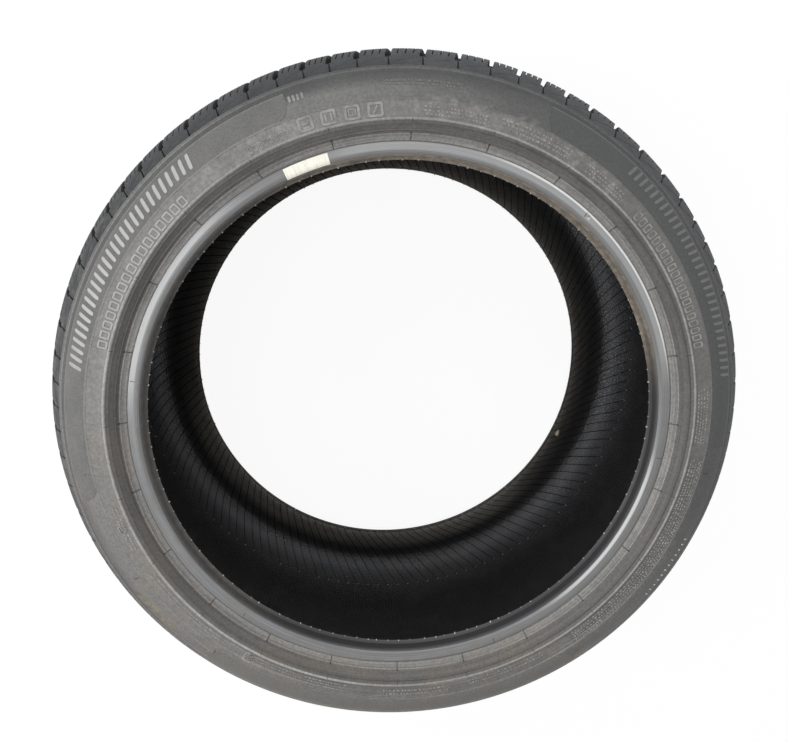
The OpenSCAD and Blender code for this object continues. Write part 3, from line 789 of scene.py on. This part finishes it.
# The columns of one pitch: share of the pitch, place in half slot widths, place in millimetres
# beyond that, depth as a share of the slot's and of the fine cut's, and where the foot line runs.
columns = [(0, -1, -0.8, 0, 0, 1), (0, -1, -0.15, 0.03, 0, 1), (0, -1, 0, 0.12, 0, 1), (0, -1, 0.2, 1, 0, 1),
           (0, 1, -0.2, 1, 0, 0), (0, 1, 0, 0.12, 0, 0), (0, 1, 0.15, 0.03, 0, 0), (0, 1, 0.8, 0, 0, 0)]
for share in (0.27, 0.5, 0.73):
    columns.append((share - 0.1, 0, 0, 0, 0, share - 0.1))
    columns += [(share, 0, -0.55, 0, 0, share), (share, 0, -0.45, 0, 1, share),
                (share, 0, 0.45, 0, 1, share), (share, 0, 0.55, 0, 0, share)]
columns.append((0.86, 0, 0, 0, 0, 0.86))

many = len(columns) * PITCHES
spot = np.zeros((len(rows), many, 2))
slope = np.zeros((len(rows), many, 2))
dip = np.zeros((len(rows), many))
turn_at = np.zeros((len(rows), many))
share, side_, extra, cut, sipe, drift = (np.tile(k, PITCHES) for k in np.array(columns, float).T)
pitch_no = np.repeat(np.arange(PITCHES), len(columns))
angle = slots[pitch_no] + share * gaps[pitch_no]
wear_bar = np.abs((angle + 30) % 60 - 30) * math.radians(1) * 350 < 4
line_at = 0.06 + 0.86 * drift ** 1.25
foot_rows = [0 * line_at, line_at * 0.5, line_at - 0.035, line_at - 0.012, line_at + 0.02, line_at + 0.05,
             line_at + (1 - line_at) * 0.5, 0.93 + 0 * line_at, 1 + 0 * line_at]
foot_dips = np.array([0, 0, 0, 0.75, 0.8, 0.25, 0.15, 0.02, 0])
# The foot lines are deepest at the upper right.
foot_deep = 0.2 + 0.3 * np.clip(1.6 - np.abs((angle - 32 + 180) % 360 - 180) / 26, 0, 1)
for k, (at, half, deep, x, ring_dip, fine) in enumerate(rows):
    if foot <= k < foot + FOOT_ROWS:
        t = FOOT_TOP + (FOOT_END - FOOT_TOP) * np.clip(foot_rows[k - foot], 0, 1)
        spot[k], ring_dip = along(SHOULDER, t), foot_dips[k - foot] * foot_deep
        slope[k] = along(SHOULDER, 0.44, 1.0)[0] - along(SHOULDER, 0.44)[0]
    elif np.ndim(at):
        spot[k], slope[k] = at, (1, 2 * CROWN_DROP * at[1] / 90 ** 2)
    else:
        spot[k] = along(SHOULDER, at)[0]
        slope[k] = along(SHOULDER, at, 1.0)[0] - spot[k]
    there = np.ones(many) if half >= 0 else (pitch_no % 2 == 0).astype(float)
    wide = abs(half) if half else 0.65
    turn_at[k] = angle + np.degrees((side_ * wide + extra + x) / spot[k, :, 0])
    dip[k] = np.maximum(np.maximum(cut * deep * there, sipe * fine), ring_dip)
    if np.isscalar(ring_dip) and ring_dip == GROOVE_DEEP:
        dip[k] = np.where(wear_bar, WEAR_BAR_DEEP, dip[k])
slope /= np.linalg.norm(slope, axis=-1)[..., None]
spot -= slope * dip[..., None]
tread = closed_ring("tread_upper", spot[..., 0], spot[..., 1], turn_at)
finish_mesh(tread, 32)

# Vulcanised tread rubber: harder and bluer than the sidewall, matt, scuffed grey where it has run, dusty brown-grey
# along the lower left, where the blocks hardly show, and darkened at the left by painted shade.
tread_rubber, tree, place, _, turn, height = new_material("vulcanised_tread_rubber")
clouds = add(tree, "TexNoise", {"Vector": place, "Scale": 1000 / 16, "Detail": 5.0, "Roughness": 0.65})
specks = add(tree, "TexNoise", {"Vector": place, "Scale": 1000 / 1.8, "Detail": 3.0, "Roughness": 0.7})
shade = add(tree, "ValToRGB", {0: clouds}, stops=[(0.3, "#2e3134"), (0.5, "#383b3e"), (0.72, "#474a4c")])
shade = cover(tree, shade, "#73706c", 0.75, stretch(tree, turn, 232, 305, 28),
              add(tree, "MapRange", {"Value": height, "From Min": 0.096, "From Max": 0.112}))
# Painted shade: the blocks at the left are darkened.
shade = cover(tree, shade, "#1c1e20", 0.5, stretch(tree, turn, 100, 172, 18))
shade = cover(tree, shade, "#716d66", 0.4, stretch(tree, turn, 150, 345, 20),
              add(tree, "MapRange", {"Value": clouds, "From Min": 0.5, "From Max": 0.66}))
shade = add(tree, "Mix", {0: 0.6, 6: shade, 7: add(tree, "ValToRGB", {0: specks}, stops=[
    (0.36, "#9f9f9f"), (0.66, "#ffffff")])}, out=2, data_type="RGBA", blend_type="MULTIPLY")
skin = add(tree, "TexNoise", {"Vector": place, "Scale": 1000 / 1.4, "Detail": 4.0, "Roughness": 0.7})
skin = add(tree, "Bump", {"Strength": 0.35, "Distance": 0.0003, "Height": skin})
face = add(tree, "BsdfPrincipled", {"Base Color": shade, "Roughness": 0.68, "IOR": 1.5, "Normal": skin})
add(tree, "OutputMaterial", {"Surface": face})

# The same rubber inside the slots and grooves, where nothing has rubbed or greyed it, and darkened further by
# painted shade.
slot_rubber, tree, place, *_ = new_material("slot_rubber_clean_and_painted_shade")
fine = add(tree, "TexNoise", {"Vector": place, "Scale": 1000 / 6, "Detail": 4.0, "Roughness": 0.6})
shade = add(tree, "ValToRGB", {0: fine}, stops=[(0.35, "#101113"), (0.7, "#1a1b1d")])
face = add(tree, "BsdfPrincipled", {"Base Color": shade, "Roughness": 0.75, "IOR": 1.5})
add(tree, "OutputMaterial", {"Surface": face})
rubber_piece(tread, tread_rubber, slot_rubber)
# The tread's outer face; every face deeper than 1.1 mm under it takes the slot rubber and its painted shade.
slot_shade_line = np.vstack([[crown(z) for z in (-20, 0, 30, 60, 90)], along(SHOULDER, np.linspace(0.03, 0.53, 18))])
tread.data.polygons.foreach_set("material_index", sunk_faces(tread, slot_shade_line, 1.1))

# Tread, lower half. The same mould segment turned over, half a pitch on.
rubber_piece(turned_over(tread, "tread_lower", pitch / 2))

# Label. A plain paper strip, glued over the heel of the upper bead; it keeps its solid. Cream
# matt paper: pale, with faint worn bars across it and a little soil.
paper, tree, place, radius, turn, _ = new_material("cream_paper")
bars = add(tree, "CombineXYZ", {0: add(tree, "Math", {0: turn, 1: 260.0}, operation="MULTIPLY"),
                                1: add(tree, "Math", {0: radius, 1: 40.0}, operation="MULTIPLY")})
bars = add(tree, "TexNoise", {"Vector": bars, "Scale": 1.6, "Detail": 3.0})
soil = add(tree, "TexNoise", {"Vector": place, "Scale": 1000 / 8, "Detail": 5.0, "Roughness": 0.6})
shade = add(tree, "ValToRGB", {0: bars}, stops=[(0.3, "#cdc9b6"), (0.45, "#e6e3d6"), (0.65, "#eeece2")])
shade = cover(tree, shade, "#b5ad98", 0.6,
              add(tree, "MapRange", {"Value": soil, "From Min": 0.55, "From Max": 0.8}))
face = add(tree, "BsdfPrincipled", {"Base Color": shade, "Roughness": 0.7, "IOR": 1.45})
add(tree, "OutputMaterial", {"Surface": face})
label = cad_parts["bead_label"]
label.data.materials.clear()
label.data.materials.append(paper)

# Stone. A beige pebble that has stuck to the dusty flank just inside the lower bead.
bpy.ops.object.select_all(action="DESELECT")
bpy.ops.mesh.primitive_ico_sphere_add(subdivisions=3, radius=0.001, location=(0, 0, 0))
stone = fresh("stuck_pebble")
for vertex in stone.data.vertices:
    x, y, z = vertex.co * 1000
    swell = 1 + 0.12 * math.sin(3.1 * x + 1.7 * y) + 0.1 * math.sin(4.3 * z + 2 * x)
    vertex.co = Vector((2.7 * x * swell, 4.6 * y * swell, 2.3 * z * swell)) * MM
stone.data.transform(Matrix.Translation((0.2371, -0.1068, -0.1234)) @ Matrix.Rotation(math.radians(-20), 4, "Z"))
bpy.ops.object.shade_smooth_by_angle(angle=math.radians(40))
grit, tree, place, *_ = new_material("weathered_sandstone")
fine = add(tree, "TexNoise", {"Vector": place, "Scale": 1000 / 1.5, "Detail": 4.0, "Roughness": 0.7})
shade = add(tree, "ValToRGB", {0: fine}, stops=[(0.35, "#7d7260"), (0.55, "#a89c86"), (0.7, "#c9bfab")])
skin = add(tree, "Bump", {"Strength": 0.6, "Distance": 0.0004, "Height": fine})
face = add(tree, "BsdfPrincipled", {"Base Color": shade, "Roughness": 0.85, "Normal": skin})
add(tree, "OutputMaterial", {"Surface": face})
stone.data.materials.append(grit)
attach(stone, "root")
